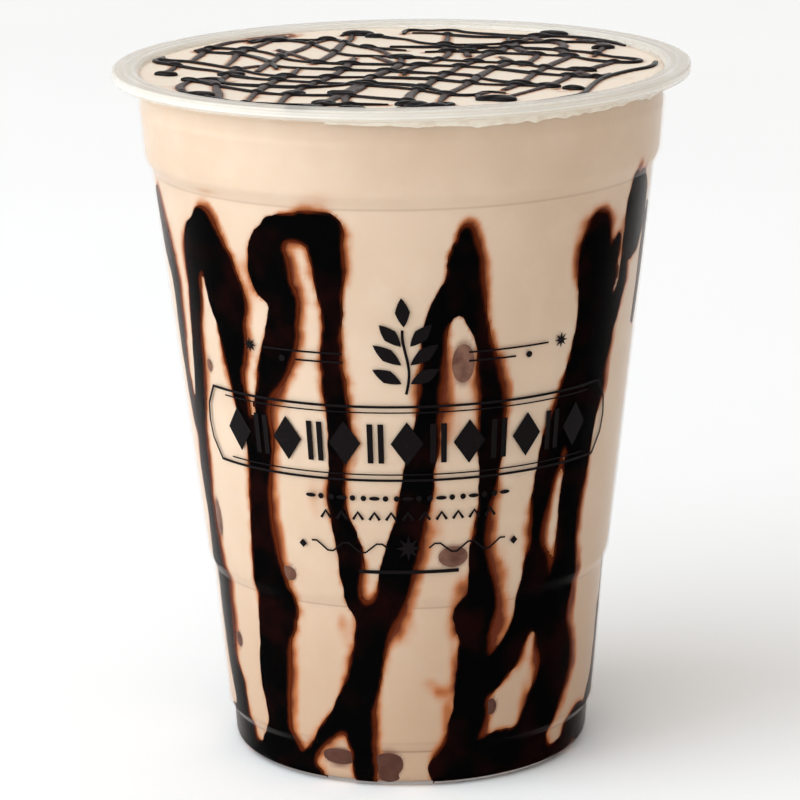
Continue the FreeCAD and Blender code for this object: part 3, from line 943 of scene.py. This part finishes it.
def rule(mesh, points, width):
    """A drawn line with square ends, from an edge dragged along its points."""
    points = [Vector((*point, 0)) for point in points]
    last = None
    for k, point in enumerate(points):
        along = (points[min(k + 1, len(points) - 1)] - points[max(k - 1, 0)]).normalized()
        aside = Vector((-along.y, along.x, 0)) * width / 2
        if last is None:
            last = mesh.edges.new([mesh.verts.new(point + aside), mesh.verts.new(point - aside)])
            continue
        grown = bmesh.ops.extrude_edge_only(mesh, edges=[last])["geom"]
        fresh = [item for item in grown if isinstance(item, bmesh.types.BMVert)]
        for vert, old in zip(fresh, last.verts):
            side = 1 if (old.co - points[k - 1]).dot(aside) > 0 else -1
            vert.co = point + aside * side
        last = next(item for item in grown if isinstance(item, bmesh.types.BMEdge)
                    and all(vert in fresh for vert in item.verts))


def mark(mesh, x, y, long, wide, sides=16, turn=0.0, shape=None):
    """A filled mark from a disc of a number of sides: shape gives each corner's pull inwards by its angle."""
    disc = bmesh.ops.create_circle(mesh, cap_ends=True, segments=sides, radius=1.0)["verts"]
    for vert in disc:
        around = math.atan2(vert.co.y, vert.co.x)
        vert.co *= shape(around) if shape else 1
    spin = Matrix.Rotation(math.radians(turn), 4, "Z")
    size = Matrix.Diagonal((long / 2, wide / 2, 1, 1))
    bmesh.ops.transform(mesh, verts=disc, matrix=Matrix.Translation((x, y, 0)) @ spin @ size)


def leaf(around):
    return 1 - 0.2 * abs(math.sin(2 * around))**0.7


def star(around):
    return 0.42 + 0.58 * abs(math.cos(around * 4))**3


def print_ink():
    finish = Finish("print_ink")
    wear = finish.grain(0.6, 3.0)
    ink = finish.blend(wear.ramp(0.55, 0.8) * 0.4, colour(12, 7, 8), colour(40, 26, 24))
    return finish.surface({"Base Color": ink, "Roughness": 0.6, "Specular IOR Level": 0.06})


mesh = bmesh.new()
# The sprig, with the rules and small marks on each side of it, and the two halves of the band's frame.
rule(mesh, [(0.5 * math.sin(k / 2.2), 70.6 + k) for k in range(12)], 0.45)
mark(mesh, -0.4, 84.6, 5.0, LEAF_WIDTH, turn=94, shape=leaf)
for side in (-1, 1):
    for level, long, tilt in ((72.4, 5.2, 28), (75.6, 5.6, 38), (78.8, 5.0, 48)):
        turn = math.radians(tilt)
        x, y = side * (0.7 + long / 2 * math.cos(turn)), level + long / 2 * math.sin(turn)
        mark(mesh, x, y, long, LEAF_WIDTH, turn=tilt if side > 0 else 180 - tilt, shape=leaf)
    rule(mesh, [(side * x, 77.4) for x in range(10, 25, 2)], THIN)
    rule(mesh, [(side * x, 75.9) for x in range(10, 19, 2)], THIN)
    mark(mesh, side * 26.6, 77.4, 2.6, 2.6, shape=star)
    mark(mesh, side * 20.4, 75.9, 1.1, 1.1, 12)
    for level in (BAND_HIGH, BAND_LOW):
        rule(mesh, [(side * x, level) for x in (*range(0, 37, 2), BAND_HALF)], FIRM)
    end = ((37.2, BAND_LOW), (39.4, 59), (39.9, BAND_MIDDLE), (39.4, 65), (37.2, BAND_HIGH))
    rule(mesh, [(side * x, y) for x, y in end], FIRM)
    for level in (67.4, 56.6):
        rule(mesh, [(side * x, level) for x in range(0, 36, 2)], FINE)
# The band's lozenges, with a pair of bars between each two.
for k in range(-3, 4):
    mark(mesh, k * LOZENGE_STEP, BAND_MIDDLE, 5.4, 7.6, 4)
for k in range(-3, 3):
    for off in (-0.9, 0.9):
        rule(mesh, [(k * LOZENGE_STEP + 5.2 + off, y) for y in (58.6, BAND_MIDDLE, 65.4)], BOLD)
# Below it a row of dots, a row of chevrons, a star between two waves, and a rule.
for k in range(-9, 10):
    mark(mesh, k * 1.9, 52.4, 1.0 if k % 3 else 1.9, 1.0 if k % 3 else 0.7, 12)
for k in range(-5, 6):
    rule(mesh, [(k * 2.9 - 0.9, 48.6), (k * 2.9, 49.9), (k * 2.9 + 0.9, 48.6)], 0.5)
mark(mesh, 0, STAR_LEVEL, 4.4, 4.4, shape=star)
for side in (-1, 1):
    rule(mesh, [(side * (3.6 + k), STAR_LEVEL + 0.9 * math.sin(k * 1.05)) for k in range(15)], THIN)
    mark(mesh, side * 19.4, STAR_LEVEL, 1.5, 1.5, 4)
rule(mesh, [(x, 39.4) for x in range(-9, 10, 2)], 0.6)
# Cuts a millimetre apart let the flat drawing bend with the wall.
for cut in range(-40, 41):
    drawing = mesh.verts[:] + mesh.edges[:] + mesh.faces[:]
    bmesh.ops.bisect_plane(mesh, geom=drawing, plane_co=(cut, 0, 0), plane_no=(1, 0, 0), dist=1e-5)
across, up, _ = coordinates(mesh)
wrap(mesh, np.degrees(across / PRINT_RADIUS), up, wall_outside(up) + INK_PROUD)
face_outwards(mesh)
print_piece = made(mesh, "cup_print", print_ink(), smooth=False)
thicken(print_piece, INK_SHEET)
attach(print_piece, "root")


# ------------------------------------------------------------------------------
# The studio is a pale, matt floor with one soft light on the left, in a white room that glows most behind the left
# shoulder. The camera looks a little down on the cup, through a long lens.

FLOOR_HALF = 6000.0
AIM = Vector((0, 0, 0.06))
KEY_PLACE, KEY_SIZE, KEY_POWER, KEY_COLOUR = (-0.85, -0.35, 0.45), 0.9, 5.3, (0.88, 1.0, 1.1)
ROOM_GLOW, WINDOW_GLOW = 0.66, 1.65
WINDOW_SIDE = Vector((-0.7, -0.7, 0.2)).normalized()
DISTANCE, LENS, SENSOR = 0.7, 182.25, 36.0
LOOK_DOWN, LEAN, SIDE_SHIFT = 13.9, 0.87, -0.0079


def white_floor():
    finish = Finish("pale_floor")
    paint = finish.blend(finish.grain(400).ramp(0.3, 0.7), colour(250, 248, 246), colour(247, 245, 243))
    return finish.surface({"Base Color": paint, "Roughness": 0.9})


mesh = bmesh.new()
bmesh.ops.create_grid(mesh, x_segments=8, y_segments=8, size=FLOOR_HALF)
floor = made(mesh, "floor", white_floor(), smooth=False)

lamp = bpy.data.lights.new("key_left", "AREA")
lamp.shape = "RECTANGLE"
lamp.size = lamp.size_y = KEY_SIZE
lamp.energy = KEY_POWER
lamp.color = KEY_COLOUR
key = bpy.data.objects.new("key_left", lamp)
key.location = KEY_PLACE
key.rotation_euler = (AIM - Vector(KEY_PLACE)).to_track_quat("-Z", "Y").to_euler()
bpy.context.scene.collection.objects.link(key)

room = Finish("studio", "worlds")
facing = room.node("VectorMath", {"operation": "DOT_PRODUCT"}, {0: room.node("TexCoord"), 1: WINDOW_SIDE}, out=1)
glow = ROOM_GLOW + WINDOW_GLOW * facing.ramp(0.3, 1.0)
coolness = room.node("MapRange", None, {"Value": glow, "From Min": ROOM_GLOW, "From Max": 1.9})
tint = room.blend(coolness, (1.0, 0.99, 0.97, 1.0), (0.95, 1.0, 1.03, 1.0))
air = room.node("Background", None, {"Color": tint, "Strength": glow})
bpy.context.scene.world = room.output(air, "OutputWorld")
bpy.context.scene.view_settings.view_transform = "Standard"

camera_data = bpy.data.cameras.new("camera")
camera_data.lens = LENS
camera_data.sensor_width = SENSOR
camera_data.shift_x = SIDE_SHIFT
camera_data.clip_start = 0.05
camera = bpy.data.objects.new("camera", camera_data)
down = math.radians(LOOK_DOWN)
camera.location = AIM + Vector((0, -math.cos(down), math.sin(down))) * DISTANCE
upright = Matrix.Rotation(math.radians(90 - LOOK_DOWN), 4, "X")
camera.rotation_euler = (upright @ Matrix.Rotation(math.radians(-LEAN), 4, "Z")).to_euler()
bpy.context.scene.collection.objects.link(camera)
bpy.context.scene.camera = camera
